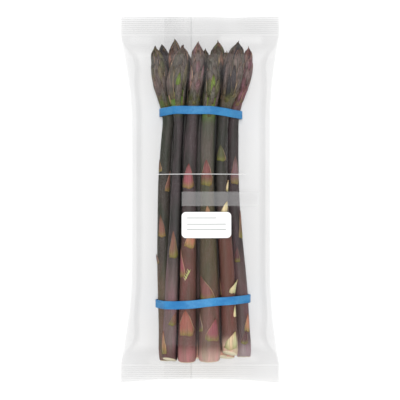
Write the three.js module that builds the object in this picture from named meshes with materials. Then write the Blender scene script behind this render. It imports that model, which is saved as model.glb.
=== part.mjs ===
// A bundle of purple asparagus: spears held by two rubber bands, lying on its back in a clear film bag.
// Units are millimetres. +Y runs along the spears to their tips, +X points right and +Z points up.
// The origin is on the surface that the bag lies on, under the middle of the bag.
import * as THREE from "three";
import { ParametricGeometry } from "three/addons/geometries/ParametricGeometry.js";

// Bag
const BAG_LENGTH = 275;
const BAG_FLAT_WIDTH = 120;
const BAG_WAIST_WIDTH = 103;
const SEAL_DEPTH = 12;
const SEAL_HEIGHT = 12;
const FILM = 0.4;
const SEAL_GAP = 0.3;
const SIDE_EDGE_SHARE = 0.24;
const FLARE_FROM_TOP = 60;
const FLARE_FROM_BASE = 40;
const FLARE_POWER = 2.2;
const END_ROUND = 11;
const END_SQUARENESS = 4;
const CROWN_SQUARENESS = 2.4;
const FLOOR_FLATNESS = 1.25;

// Bands
const BAND_WIDTH = 6;
const BAND_THICKNESS = 1.1;
const LOWER_BAND = { y: -76, slope: 0.06, arch: 0 };
const UPPER_BAND = { y: 66.5, slope: -0.01, arch: 4 };

// Spears
const CLEARANCE = 0.7;
const BUNDLE_REST = FILM + BAND_THICKNESS + 2.5 * CLEARANCE;
const NECK_SHARE = 0.98;
const LAYER_HEIGHT = { bottom: 8.5, inner: 18.5, side: 17.5, shoulder: 28, top: 31 };
const LAYER_HOLD = { bottom: 0.3, inner: 0.1, side: 1, shoulder: 1, top: 1 };
const PLAN_AT = [-120, -76, -40, 0, 30, 66, 95, 118];
const PLAN_HEIGHT_SCALE = [1.03, 1, 0.94, 0.87, 0.83, 0.82, 1.05, 1];
const STATIONS = [-120, -98, -76, -38, 0, 33, 66, 73, 80, 86, 92, 98, 105, 112, 118];
const SPEAR_SIDES = 12;

// Each spear: height along Y of its cut end and its point, then its diameters at the cut, halfway up and
// across the bud, its layer in the bundle, and its place across the bundle at each of the PLAN_AT heights.
function spear(cut, tip, [base, waist, bud], layer, x) {
  return { cut, tip, base, waist, bud, layer, x };
}

const SPEARS = [
  spear(-120.5, 114.5, [11.0, 9.2, 12.7], "side", [-25.0, -26.5, -27.3, -27.2, -26.4, -23.8, -29.5, -34.5]),
  spear(-118.5, 113.5, [11.2, 8.6, 15.5], "shoulder", [-22.6, -21, -19.5, -17.6, -16.7, -15.6, -15, -12.3]),
  spear(-120.5, 116.0, [13.2, 10.3, 11.2], "top", [-9.7, -9.1, -8.7, -8.3, -7.8, -4.8, -1.9, -1.5]),
  spear(-120.0, 107.0, [15.5, 11.0, 12.0], "top", [6.7, 6.8, 6.3, 5.4, 5.2, 6.3, 8.5, 6.7]),
  spear(-114.0, 116.5, [12.0, 9.4, 15.3], "shoulder", [22.1, 20.6, 18.9, 16.2, 15.6, 18.2, 24.0, 28.5]),
  spear(-118.0, 114.8, [10.8, 8.0, 9.0], "side", [33.0, 31.3, 28.5, 25.5, 25.0, 26.0, 34.5, 36.5]),
  spear(-119.0, 120.0, [10.5, 8.5, 10.5], "inner", [-15, -15, -14, -13, -13, -12, -19, -18.5]),
  spear(-117.5, 118.5, [11.0, 9.0, 13.0], "inner", [19, 18, 15, 12, 12, 12, 13, 13.5]),
  spear(-119.0, 113.0, [11.0, 8.5, 10.0], "inner", [2, 2, 1, 0, 0, 1, 2.5, 4.5]),
  spear(-119.5, 118.0, [11.5, 9.0, 10.0], "bottom", [-17, -18, -19, -19, -18, -17, -25, -29]),
  spear(-120.5, 112.0, [11.5, 9.0, 10.5], "bottom", [-5, -6, -7, -7, -6, -6, -10, -10]),
  spear(-118.5, 110.0, [11.5, 9.0, 10.5], "bottom", [7, 6, 5, 5, 5, 5, 4, 4]),
  spear(-120.0, 113.0, [11.5, 9.0, 10.5], "bottom", [20, 19, 17, 16, 16, 16, 19, 20]),
];

// Smooth curve through samples: returns the values at a place, from one list of numbers for each place.
function curveThrough(places, samples) {
  const width = samples[0].length;
  const fit = new THREE.CubicInterpolant(places, samples.flat(), width, new Float32Array(width));
  return (place) => Array.from(fit.evaluate(place));
}

// A spear's radius at a height: a slow taper to the neck, then the swollen bud and its point.
function radiusCurve({ cut, tip, base, waist, bud }) {
  const neck = NECK_SHARE * waist;
  const stem = [base, 0.6 * base + 0.4 * waist, waist, neck];
  const head = [0.3 * neck + 0.7 * bud, bud, 0.78 * bud, 0.4 * bud, 0];
  const shares = [0, 0.27, 0.5, 0.78, 0.845, 0.9, 0.955, 0.988, 1];
  const diameters = [...stem, ...head];
  const at = curveThrough(shares, diameters.map((diameter) => [diameter / 2]));
  return (y) => {
    const share = (y - cut) / (tip - cut);
    return share < 0 || share > 1 ? 0 : Math.max(0, at(share)[0]);
  };
}

// Settles the spears of one cross-section beside and on each other, starting from their planned places.
// A spear with less hold gives way to one with more.
function settle(plan, radii, hold) {
  const PULL = 0.03;
  const ROUNDS = 400;
  const LAST_ROUNDS = 150;
  const placed = plan.map((point) => point.clone());
  for (let round = 0; round < ROUNDS; round++) {
    const pull = round < ROUNDS - LAST_ROUNDS ? PULL : 0;
    placed.forEach((point, i) => point.lerp(plan[i], pull));
    for (let i = 0; i < placed.length; i++) {
      for (let j = i + 1; j < placed.length; j++) {
        const apart = placed[j].clone().sub(placed[i]);
        const short = radii[i] + radii[j] + CLEARANCE - apart.length();
        if (short <= 0) continue;
        apart.setLength(short / (hold[i] + hold[j]));
        placed[i].addScaledVector(apart, -hold[j]);
        placed[j].addScaledVector(apart, hold[i]);
      }
    }
    placed.forEach((point, i) => (point.y = Math.max(point.y, radii[i] + BUNDLE_REST)));
  }
  return placed;
}

// The bundle: each spear's radius and centre line, with (x, z) of the centre given by its height along Y.
const radiusOf = SPEARS.map(radiusCurve);
const planOf = SPEARS.map(({ x, layer }) =>
  curveThrough(PLAN_AT, PLAN_HEIGHT_SCALE.map((scale, k) => [x[k], LAYER_HEIGHT[layer] * scale])),
);
const sections = STATIONS.map((y) => {
  const plan = planOf.map((at) => new THREE.Vector2(...at(y)));
  const within = SPEARS.map(({ cut, tip }) => THREE.MathUtils.clamp(y, cut + 1, tip - 1));
  const hold = SPEARS.map(({ layer }) => LAYER_HOLD[layer]);
  return settle(plan, within.map((height, i) => radiusOf[i](height)), hold);
});
const centreOf = SPEARS.map((_, i) => curveThrough(STATIONS, sections.map((placed) => placed[i].toArray())));

// One spear: a turned profile from the flat cut end to the point, leaned along its centre line.
function spearGeometry(i) {
  const { cut, tip } = SPEARS[i];
  const shares = [0, 0.012, 0.1, 0.22, 0.34, 0.46, 0.58, 0.7, 0.78, 0.84, 0.885, 0.925, 0.955, 0.982];
  const rings = shares.map((share) => cut + share * (tip - cut));
  const profile = rings.map((y) => new THREE.Vector2(radiusOf[i](y), y));
  const EDGE_ROUNDING = 0.94;
  profile[0].x *= EDGE_ROUNDING;
  const outline = [new THREE.Vector2(0, cut), ...profile, new THREE.Vector2(0, tip)];
  const geometry = new THREE.LatheGeometry(outline, SPEAR_SIDES);
  const position = geometry.getAttribute("position");
  for (let v = 0; v < position.count; v++) {
    const [x, z] = centreOf[i](position.getY(v));
    position.setX(v, position.getX(v) + x);
    position.setZ(v, position.getZ(v) + z);
  }
  return geometry;
}

// Convex outline, in (x, z), round circles that are grown by a margin: the line that a stretched band takes.
function stretchedOutline(centres, radii, margin) {
  const SAMPLES = 20;
  const points = centres.flatMap(([x, z], i) =>
    Array.from({ length: SAMPLES }, (_, k) => {
      const angle = (2 * Math.PI * k) / SAMPLES;
      const reach = (radii[i] + margin) / Math.cos(Math.PI / SAMPLES);
      return new THREE.Vector2(x + reach * Math.cos(angle), z + reach * Math.sin(angle));
    }),
  );
  points.sort((a, b) => a.x - b.x || a.y - b.y);
  const turn = (o, a, b) => (a.x - o.x) * (b.y - o.y) - (a.y - o.y) * (b.x - o.x);
  const halfHull = (ordered) => {
    const chain = [];
    for (const point of ordered) {
      while (chain.length > 1 && turn(chain.at(-2), chain.at(-1), point) <= 0) chain.pop();
      chain.push(point);
    }
    return chain.slice(0, -1);
  };
  return [...halfHull(points), ...halfHull([...points].reverse())];
}

// A flat rubber band stretched round the bundle, slanting and arching a little across it.
function bandGeometry({ y, slope, arch }) {
  const heights = [y - BAND_WIDTH / 2 - arch / 2, y, y + BAND_WIDTH / 2];
  const centres = heights.flatMap((height) => centreOf.map((centre) => centre(height)));
  const radii = heights.flatMap((height) => radiusOf.map((radius) => radius(height)));
  const ring = new THREE.Shape(stretchedOutline(centres, radii, CLEARANCE + BAND_THICKNESS));
  ring.holes.push(new THREE.Path(stretchedOutline(centres, radii, CLEARANCE)));
  const geometry = new THREE.ExtrudeGeometry(ring, { depth: BAND_WIDTH, bevelEnabled: false });
  geometry.translate(0, 0, -BAND_WIDTH / 2);
  geometry.rotateX(Math.PI / 2);
  const position = geometry.getAttribute("position");
  for (let v = 0; v < position.count; v++) {
    const x = position.getX(v);
    const drop = arch * (x / (BAG_WAIST_WIDTH / 2)) ** 2;
    position.setY(v, position.getY(v) + y + slope * x - drop);
  }
  return geometry;
}

// How far the bag has opened at a height along Y: 0 in the end seals and 1 over the bundle, rising steeply.
function opening(y) {
  const depth = (BAG_LENGTH / 2 - SEAL_DEPTH - Math.abs(y)) / END_ROUND;
  const rest = 1 - THREE.MathUtils.clamp(depth, 0, 1);
  return (1 - rest ** END_SQUARENESS) ** (1 / END_SQUARENESS);
}

// Half the width of the bag at a height along Y: a waist over the bundle that flares to the flat seals.
function halfWidth(y) {
  const from = y > 0 ? FLARE_FROM_TOP : FLARE_FROM_BASE;
  const share = THREE.MathUtils.clamp((Math.abs(y) - from) / (BAG_LENGTH / 2 - SEAL_DEPTH - from), 0, 1);
  return THREE.MathUtils.lerp(BAG_WAIST_WIDTH, BAG_FLAT_WIDTH, share ** FLARE_POWER) / 2;
}

// Height of the film along its crown: stretched straight over the bundle from one high place to the next.
const topOf = (y, placed) => Math.max(...placed.map((point, i) => point.y + radiusOf[i](y)));
const bundleTop = STATIONS.map((y, k) => topOf(y, sections[k]));
const crownOver = curveThrough(
  STATIONS,
  STATIONS.map((y, k) => {
    const spans = STATIONS.flatMap((from, a) =>
      STATIONS.map((to, b) => {
        const share = a < k && b > k ? (y - from) / (to - from) : 0;
        return share > 0 ? THREE.MathUtils.lerp(bundleTop[a], bundleTop[b], share) : bundleTop[k];
      }),
    );
    return [Math.max(...spans) + 2 * BAND_THICKNESS + CLEARANCE + FILM];
  }),
);

// A point of the film: around is the turn round the bag's section, inset is 0 outside and FILM inside.
function filmPoint(around, y, inset, target) {
  const open = opening(y);
  const place = THREE.MathUtils.clamp(y, STATIONS[0], STATIONS.at(-1));
  const halfSeal = FILM + SEAL_GAP / 2;
  const top = THREE.MathUtils.lerp(SEAL_HEIGHT + halfSeal, crownOver(place)[0], open) - inset;
  const bottom = THREE.MathUtils.lerp(SEAL_HEIGHT - halfSeal, 0, open) + inset;
  const edge = THREE.MathUtils.lerp(SEAL_HEIGHT, SIDE_EDGE_SHARE * top, open);
  const angle = 2 * Math.PI * around;
  const across = Math.cos(angle);
  const up = Math.sin(angle);
  const power = 2 / CROWN_SQUARENESS;
  const x = (halfWidth(y) - inset) * Math.sign(across) * Math.abs(across) ** power;
  const lift = Math.abs(up) ** power;
  const sink = Math.min(1, FLOOR_FLATNESS * lift);
  const z = up > 0 ? edge + (top - edge) * lift : edge - (edge - bottom) * sink;
  return target.set(x, y, z);
}

// The film bag: a tube of film pressed flat into a seal at each end, with a hair gap between its walls.
function bagGeometry() {
  const AROUND = 36;
  const half = BAG_LENGTH / 2;
  const seal = half - SEAL_DEPTH;
  const rounded = [9, 5.5, 2.8, 1.1, 0.3, 0].map((depth) => seal - depth);
  const upper = [0, 35, 65, 84, 98, 109, ...rounded, half];
  const lower = upper.slice(1).map((y) => -y).reverse();
  const heights = [...lower, ...upper];
  const rows = [...heights.map((y) => [y, 0]), ...heights.reverse().map((y) => [y, FILM])];
  rows.push(rows[0]);
  const wall = (u, v, target) => {
    const [y, inset] = rows[Math.round(v * (rows.length - 1))];
    return filmPoint(1 - u, y, inset, target);
  };
  return new ParametricGeometry(wall, AROUND, rows.length - 1);
}

// Materials
const spearSkin = new THREE.MeshStandardMaterial({ color: 0x6b5c58, roughness: 0.6, metalness: 0 });
const blueRubber = new THREE.MeshStandardMaterial({ color: 0x2f82bd, roughness: 0.55, metalness: 0 });
const clearFilm = new THREE.MeshStandardMaterial({
  color: 0xf2f2f2,
  roughness: 0.2,
  metalness: 0,
  transparent: true,
  opacity: 0.2,
});

// Assembly
const bundle = new THREE.Group();

function addPiece(name, geometry, material) {
  const piece = new THREE.Mesh(geometry, material);
  piece.name = name;
  bundle.add(piece);
}

SPEARS.forEach((_, i) => addPiece(`spear_${String(i + 1).padStart(2, "0")}`, spearGeometry(i), spearSkin));
addPiece("band_lower", bandGeometry(LOWER_BAND), blueRubber);
addPiece("band_upper", bandGeometry(UPPER_BAND), blueRubber);
addPiece("film_bag", bagGeometry(), clearFilm);

export default bundle;
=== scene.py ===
"""Looks of a bundle of purple asparagus in a clear film bag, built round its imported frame."""

import logging
import math
import random
from dataclasses import dataclass, field
from enum import Enum

import bpy
import numpy as np
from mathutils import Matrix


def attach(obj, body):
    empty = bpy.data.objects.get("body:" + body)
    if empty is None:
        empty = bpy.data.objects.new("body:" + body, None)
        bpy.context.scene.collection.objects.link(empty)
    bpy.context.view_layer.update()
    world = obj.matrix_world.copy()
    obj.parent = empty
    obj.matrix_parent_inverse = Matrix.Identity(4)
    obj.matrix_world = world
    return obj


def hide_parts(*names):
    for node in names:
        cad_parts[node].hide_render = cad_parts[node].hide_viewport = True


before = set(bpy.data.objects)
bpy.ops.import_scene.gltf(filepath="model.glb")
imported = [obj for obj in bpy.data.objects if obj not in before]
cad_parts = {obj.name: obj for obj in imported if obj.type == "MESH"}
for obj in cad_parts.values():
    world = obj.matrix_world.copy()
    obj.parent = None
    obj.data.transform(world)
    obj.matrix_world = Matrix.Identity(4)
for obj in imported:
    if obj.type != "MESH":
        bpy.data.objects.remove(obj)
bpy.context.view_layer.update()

MM = 0.001
LOG = logging.getLogger("asparagus")

Rgb = tuple[int, int, int]
Colour = tuple[float, float, float, float]
Span = tuple[float, float]
Box = tuple[float, float, float, float]
Socket = bpy.types.NodeSocket
Sockets = bpy.types.bpy_prop_collection

STRETCHES = ("Base", "Low", "Middle", "High", "Bud")
# Rings and bud of a spear, as shares of its length from the cut end to the point.
FOOT_RINGS = np.array((0.0, 0.003, 0.009, 0.02))
STEM_RINGS = np.linspace(0.04, 0.76, 36)
BUD_RINGS = np.linspace(0.775, 0.996, 20)
BUD_FOOT = 0.805
BUD_RUN = 0.165
# Size of the two lowest rings, where the cut edge is rounded.
CUT_EDGE = (0.93, 0.985)
# Degrees from one leaf of a bud to the next.
SPIRAL_TURN = 137.5

PRINT_WHITE: Colour = (0.95, 0.95, 0.95, 1)
PANEL_GREY: Colour = (0.72, 0.72, 0.72, 1)
LINE_GREY: Colour = (0.42, 0.44, 0.43, 1)
SMOKE: Colour = (0.03, 0.03, 0.032, 1)


def paint(red: int, green: int, blue: int) -> Colour:
    """Turns a display colour, from 0 to 255, into the linear colour that shaders use."""
    shares = (channel / 255 for channel in (red, green, blue))
    return (*(s / 12.92 if s <= 0.04045 else ((s + 0.055) / 1.055) ** 2.4 for s in shares), 1.0)


def ease(low: float, high: float, value: np.ndarray) -> np.ndarray:
    """Rises smoothly from 0 at low to 1 at high."""
    share = np.clip((np.asarray(value, float) - low) / (high - low), 0, 1)
    return share * share * (3 - 2 * share)


def deselect() -> None:
    """Leaves edit mode and deselects every object."""
    if bpy.context.object and bpy.context.object.mode != "OBJECT":
        bpy.ops.object.mode_set(mode="OBJECT")
    bpy.ops.object.select_all(action="DESELECT")


def choose(*objects: bpy.types.Object) -> None:
    """Selects these objects only, and makes the first one active."""
    deselect()
    for each in objects:
        each.select_set(True)
    bpy.context.view_layer.objects.active = objects[0]


def points_of(mesh: bpy.types.Mesh) -> np.ndarray:
    """Returns the mesh's vertices as rows of x, y and z."""
    flat = np.empty(len(mesh.vertices) * 3)
    mesh.vertices.foreach_get("co", flat)
    return flat.reshape(-1, 3)


def set_points(mesh: bpy.types.Mesh, points: np.ndarray) -> None:
    """Moves the mesh's vertices to these rows of x, y and z."""
    mesh.vertices.foreach_set("co", np.asarray(points, float).ravel())
    mesh.update()


def set_colours(mesh: bpy.types.Mesh, name: str, rows: np.ndarray) -> None:
    """Stores four numbers for each vertex in a named attribute."""
    layer = mesh.attributes.get(name) or mesh.attributes.new(name, "FLOAT_COLOR", "POINT")
    layer.data.foreach_set("color", np.asarray(rows, float).ravel())


def set_values(mesh: bpy.types.Mesh, name: str, values: np.ndarray) -> None:
    """Stores one number for each vertex in a named attribute."""
    set_colours(mesh, name, np.repeat(np.asarray(values, float)[:, None], 4, axis=1))


def apply_modifier(piece: bpy.types.Object, kind: str, **settings: object) -> None:
    """Adds a modifier to a piece and applies it.

    Args:
        piece: the object to change.
        kind: the modifier's type.
        settings: the modifier's own values.
    """
    choose(piece)
    modifier = piece.modifiers.new(kind.title(), kind)
    for key, value in settings.items():
        setattr(modifier, key, value)
    bpy.ops.object.modifier_apply(modifier=modifier.name)


def hand_over(piece: bpy.types.Object, node: str, material: bpy.types.Material) -> None:
    """Dresses a finished piece and puts it in the place of its node.

    Args:
        piece: the finished object.
        node: the node that it stands for.
        material: the piece's finish.
    """
    piece.data.materials.clear()
    piece.data.materials.append(material)
    for polygon in piece.data.polygons:
        polygon.use_smooth = True
    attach(piece, "root")
    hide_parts(node)
    LOG.info("%s: %d faces", piece.name, len(piece.data.polygons))


class Graph:
    """Adds nodes to a node tree and joins them."""

    def __init__(self, tree: bpy.types.NodeTree) -> None:
        """Starts from an empty tree."""
        self.tree = tree
        tree.nodes.clear()

    def add(self, kind: str, values: dict | None = None, **settings: object) -> bpy.types.Node:
        """Adds one node.

        Args:
            kind: the node's type, without the ShaderNode prefix.
            values: sockets or constants for the node's inputs, by name or number.
            settings: the node's own options.

        Returns:
            The new node.
        """
        node = self.tree.nodes.new(kind if kind.startswith("Node") else "ShaderNode" + kind)
        for key, value in settings.items():
            setattr(node, key, value)
        for key, value in (values or {}).items():
            self.feed(node.inputs[key], value)
        return node

    def feed(self, socket: Socket, value: object) -> None:
        """Links a socket to another, or sets it to a constant."""
        if isinstance(value, Socket):
            self.tree.links.new(value, socket)
        else:
            socket.default_value = value

    def mix(self, share: object, first: object, second: object, blend: str = "MIX") -> Socket:
        """Returns two colours blended by a share."""
        node = self.add("Mix", data_type="RGBA", blend_type=blend)
        for place, value in ((0, share), (6, first), (7, second)):
            self.feed(node.inputs[place], value)
        return node.outputs[2]

    def sum(self, operation: str, first: object, second: object = 0.0) -> Socket:
        """Returns the result of one sum on two values."""
        return self.add("Math", {0: first, 1: second}, operation=operation).outputs[0]

    def times(self, first: object, second: object) -> Socket:
        """Returns two values multiplied."""
        return self.sum("MULTIPLY", first, second)

    def plus(self, first: object, second: object) -> Socket:
        """Returns two values added."""
        return self.sum("ADD", first, second)

    def minus(self, first: object, second: object) -> Socket:
        """Returns the first value less the second."""
        return self.sum("SUBTRACT", first, second)

    def span(self, value: object, low: float, high: float, to: Span = (0, 1)) -> Socket:
        """Returns a value carried smoothly from low and high to another pair."""
        node = self.add("MapRange", interpolation_type="SMOOTHSTEP")
        for key, number in zip(range(5), (value, low, high, *to)):
            self.feed(node.inputs[key], number)
        return node.outputs[0]

    def span_mm(self, value: object, span: Span, to: Span = (0, 1)) -> Socket:
        """Returns a length carried smoothly from a span in millimetres to another pair."""
        return self.span(value, span[0] * MM, span[1] * MM, to)

    def noise(self, stretch: tuple[float, float, float], detail: float = 3.0, warp: float = 0.0) -> Socket:
        """Returns soft noise on object coordinates.

        Args:
            stretch: how many waves to a metre along each axis.
            detail: how many finer layers.
            warp: how far the noise is pushed about.

        Returns:
            The noise value, from 0 to 1.
        """
        where = self.add("TexCoord").outputs["Object"]
        scaled = self.add("Mapping", {"Vector": where, "Scale": stretch}).outputs[0]
        values = {"Vector": scaled, "Scale": 1.0, "Detail": detail, "Distortion": warp}
        return self.add("TexNoise", values).outputs[0]

    def shade(self, colour: Socket, light: Socket) -> Socket:
        """Returns a colour multiplied by a value."""
        grey = self.add("CombineColor", {0: light, 1: light, 2: light}).outputs[0]
        return self.mix(1.0, colour, grey, "MULTIPLY")

    def attribute(self, name: str) -> Sockets:
        """Returns the outputs of a named attribute."""
        return self.add("Attribute", attribute_name=name).outputs

    def place(self) -> Sockets:
        """Returns the x, y and z of object coordinates."""
        return self.add("SeparateXYZ", {0: self.add("TexCoord").outputs["Object"]}).outputs

    def surface(self, values: dict[str, object]) -> None:
        """Ends a material with a shader that takes these values."""
        shader = self.add("BsdfPrincipled", values)
        self.tree.links.new(shader.outputs[0], self.add("OutputMaterial").inputs[0])


def start_material(name: str) -> tuple[bpy.types.Material, Graph]:
    """Returns a new material and the graph that fills it."""
    made = bpy.data.materials.new(name)
    made.use_nodes = True
    return made, Graph(made.node_tree)


class Trace:
    """Centre line and radius of a spear by height along Y, read from its node."""

    def __init__(self, node: bpy.types.Object) -> None:
        """Reads the node's rings of vertices."""
        points = points_of(node.data)
        heights = np.round(points[:, 1], 4)
        rows = []
        for height in np.unique(heights):
            ring = np.unique(np.round(points[heights == height][:, [0, 2]], 6), axis=0)
            centre = ring.mean(axis=0)
            reach = np.linalg.norm(ring - centre, axis=1).max()
            rows.append((*centre, reach))
        self.y = np.unique(heights)
        self.rows = np.array(rows)
        self.slopes = np.gradient(self.rows, self.y, axis=0)

    def plump(self, amount: float) -> None:
        """Thickens the middle of the spear by a share of its radius, so that it meets its neighbours."""
        share = self.share(self.y)
        self.rows[:, 2] *= 1 + amount * ease(0.4, 0.5, share) * (1 - ease(0.72, 0.8, share))
        self.slopes = np.gradient(self.rows, self.y, axis=0)

    @property
    def cut(self) -> float:
        """Height of the cut end."""
        return float(self.y[0])

    @property
    def tip(self) -> float:
        """Height of the point."""
        return float(self.y[-1])

    def share(self, y: np.ndarray) -> np.ndarray:
        """Returns heights as shares of the length, 0 at the cut and 1 at the point."""
        return (np.asarray(y, float) - self.cut) / (self.tip - self.cut)

    def height(self, share: float | np.ndarray) -> float | np.ndarray:
        """Returns heights at shares of the length."""
        return self.cut + share * (self.tip - self.cut)

    def at(self, y: np.ndarray) -> tuple[np.ndarray, np.ndarray, np.ndarray]:
        """Returns the centre's x and z and the radius at these heights."""
        y = np.clip(np.asarray(y, float), self.cut, self.tip)
        k = np.clip(np.searchsorted(self.y, y) - 1, 0, len(self.y) - 2)
        step = (self.y[k + 1] - self.y[k])[..., None]
        s = (y - self.y[k])[..., None] / step
        first = (1 + 2 * s) * (1 - s) ** 2 * self.rows[k] + s * (1 - s) ** 2 * step * self.slopes[k]
        last = s**2 * (3 - 2 * s) * self.rows[k + 1] + s**2 * (s - 1) * step * self.slopes[k + 1]
        x, z, reach = np.moveaxis(first + last, -1, 0)
        return x, z, np.maximum(reach, 0)


class LeafHue(Enum):
    """Colours that the scale leaves take."""

    PINK = paint(150, 84, 92)
    ORANGE = paint(176, 124, 96)
    CORAL = paint(160, 98, 86)
    RUSSET = paint(132, 82, 78)
    CREAM = paint(226, 208, 166)
    BROWN = paint(124, 90, 74)
    UMBER = paint(78, 58, 48)
    INK = paint(60, 56, 58)
    ROSE = paint(118, 92, 94)
    WINE = paint(100, 62, 66)
    OLIVE = paint(96, 90, 64)
    DUSK = paint(99, 90, 84)
    TAUPE = paint(92, 82, 76)
    PLUM = paint(124, 76, 88)
    MOSS = paint(104, 124, 46)
    GREEN = paint(196, 214, 140)


@dataclass(frozen=True)
class Leaf:
    """One scale leaf, pressed against its spear.

    Sizes are in millimetres. Turn is in degrees round the spear, 0 facing up and 90 facing +X, and
    lean is how many degrees further its point is turned.
    """

    turn: float
    base: float
    length: float
    width: float
    hue: LeafHue = LeafHue.DUSK
    lean: float = 0.0
    lift: float = 0.35
    shade: float = 1.0
    green: float = 0.75
    rim: float = 0.5
    bud: bool = False


@dataclass(frozen=True)
class SpearFinish:
    """Skin colours of a spear from its cut end to its bud, and the share of its length where low ends."""

    base: Rgb
    low: Rgb
    middle: Rgb
    high: Rgb
    bud: Rgb
    change: float = 0.3

    def material(self, name: str) -> bpy.types.Material:
        """Makes the skin material.

        Args:
            name: the material's name.

        Returns:
            The material.
        """
        made, g = start_material(name)
        skin = g.add("Group", node_tree=SpearSkin().group())
        for key in STRETCHES:
            skin.inputs[key].default_value = paint(*getattr(self, key.lower()))
        skin.inputs["Change"].default_value = self.change
        bump = g.add("Bump", {"Height": skin.outputs["Height"], "Strength": 0.3, "Distance": 0.5 * MM})
        g.surface(
            {
                "Base Color": skin.outputs["Color"],
                "Roughness": skin.outputs["Roughness"],
                "Normal": bump.outputs[0],
                "Specular IOR Level": 0.27,
            }
        )
        return made


@dataclass(frozen=True)
class SpearSkin:
    """The skin that all spears share: streaks, bloom, scale leaves and painted shade in the gaps between
    spears.

    Spans on the stem are shares of the spear's length. Spans on a leaf are shares of the leaf's length,
    or of its half width for the rim.
    """

    name: str = "spear_skin"
    base: Span = (0.015, 0.067)
    blend: Span = (-0.08, 0.08)
    high: Span = (0.48, 0.68)
    bud: Span = (0.77, 0.83)
    bud_streaks: Span = (0.74, 0.8)
    leaf_rim: Span = (0.8, 1.0)
    leaf_point: Span = (0.6, 1.0)
    leaf_foot: Span = (0.03, 0.32)
    rim_colour: Rgb = (206, 170, 138)
    dry_colour: Rgb = (196, 166, 146)
    foot_colour: Rgb = (132, 122, 62)
    bloom_colour: Rgb = (186, 178, 180)
    flesh_colours: tuple[Rgb, Rgb] = ((228, 214, 176), (240, 232, 206))
    streak_span: Span = (0.3, 0.72)
    soft_streaks: Span = (0.86, 1.12)
    sharp_streaks: Span = (0.55, 1.42)
    bloom: Span = (0.02, 0.2)
    # How dark the painted shade is at the bottom of a gap between spears.
    darkest_crevice_shade: float = 0.12
    roughness: Span = (0.5, 0.66)

    def stem(self, g: Graph, given: Sockets, along: Socket) -> Socket:
        """Returns the skin's colour along the stem.

        Args:
            g: the group's graph.
            given: the group's inputs.
            along: the share of the spear's length.

        Returns:
            The colour.
        """
        past = g.minus(along, given["Change"])
        colour = g.mix(g.span(past, *self.blend), given["Low"], given["Middle"])
        colour = g.mix(g.span(along, *self.high), colour, given["High"])
        colour = g.mix(g.span(along, *self.bud), colour, given["Bud"])
        return g.mix(g.span(along, *self.base, (1, 0)), colour, given["Base"])

    def leaf(self, g: Graph, up: Socket, side: Socket, patches: Socket) -> Socket:
        """Returns a scale leaf's colour, with its pale rim, dry point and green foot.

        Args:
            g: the group's graph.
            up: the share of the leaf's length.
            side: the share of its half width.
            patches: soft noise that makes the foot uneven.

        Returns:
            The colour.
        """
        tint = g.attribute("tint")
        rim_share = g.times(g.span(side, *self.leaf_rim), tint["Alpha"])
        colour = g.mix(rim_share, tint["Color"], paint(*self.rim_colour))
        dry = g.mix(1.0, tint["Color"], paint(*self.dry_colour), "MULTIPLY")
        colour = g.mix(g.span(up, *self.leaf_point, (0, 0.7)), colour, dry)
        low_edge = g.plus(up, g.times(g.minus(patches, 0.5), 0.2))
        foot_share = g.times(g.span(low_edge, *self.leaf_foot, (1, 0)), g.attribute("green")["Fac"])
        return g.mix(foot_share, colour, paint(*self.foot_colour))

    def empty_group(self) -> bpy.types.NodeTree:
        """Returns a new node group with its sockets only."""
        tree = bpy.data.node_groups.new(self.name, "ShaderNodeTree")
        sockets = [(key, "INPUT", "Color") for key in STRETCHES]
        sockets += [("Change", "INPUT", "Float"), ("Color", "OUTPUT", "Color")]
        sockets += [("Roughness", "OUTPUT", "Float"), ("Height", "OUTPUT", "Float")]
        for key, way, kind in sockets:
            tree.interface.new_socket(key, in_out=way, socket_type="NodeSocket" + kind)
        return tree

    def group(self) -> bpy.types.NodeTree:
        """Builds the node group, the first time that it is asked for.

        Returns:
            The node group.
        """
        found = bpy.data.node_groups.get(self.name)
        if found:
            return found
        tree = self.empty_group()
        g = Graph(tree)
        given = g.add("NodeGroupInput").outputs
        growth = g.attribute("growth")
        parts = g.add("SeparateColor", {0: growth["Color"]}).outputs
        along, leaf, up = parts[0], parts[1], parts[2]
        streaks = g.noise((1500, 45, 1500), 4.0)
        patches = g.noise((150, 34, 150), 3.0, 0.6)
        dust = g.noise((2600, 1500, 2600), 2.0)
        colour = g.mix(leaf, self.stem(g, given, along), self.leaf(g, up, growth["Alpha"], patches))

        soft = g.span(streaks, *self.streak_span, self.soft_streaks)
        sharp = g.span(streaks, *self.streak_span, self.sharp_streaks)
        sharp_share = g.times(leaf, g.span(along, *self.bud_streaks, (0.3, 1.0)))
        colour = g.shade(colour, g.plus(soft, g.times(g.minus(sharp, soft), sharp_share)))
        warm = g.mix(g.span(patches, 0.35, 0.68), (0.84, 0.98, 0.86, 1), (1.14, 0.96, 0.99, 1))
        colour = g.mix(1.0, colour, warm, "MULTIPLY")
        bloom = g.times(g.span(dust, 0.42, 0.75), g.span(patches, 0.3, 0.7, self.bloom))
        colour = g.mix(bloom, colour, paint(*self.bloom_colour))
        flesh = g.mix(g.span(streaks, 0.35, 0.7), *(paint(*shade) for shade in self.flesh_colours))
        colour = g.mix(g.attribute("cut")["Fac"], colour, flesh)
        # Painted shade: the skin is darkened where it lies deep in a gap between spears.
        colour = g.shade(colour, g.span(g.attribute("crevice_shade")["Fac"], 0.0, 1.0, (1.0, self.darkest_crevice_shade)))

        rough = g.span(patches, 0.2, 0.8, self.roughness)
        height = g.plus(streaks, g.times(dust, 0.4))
        out = g.add("NodeGroupOutput")
        for key, value in (("Color", colour), ("Roughness", rough), ("Height", height)):
            g.feed(out.inputs[key], value)
        return tree


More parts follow.
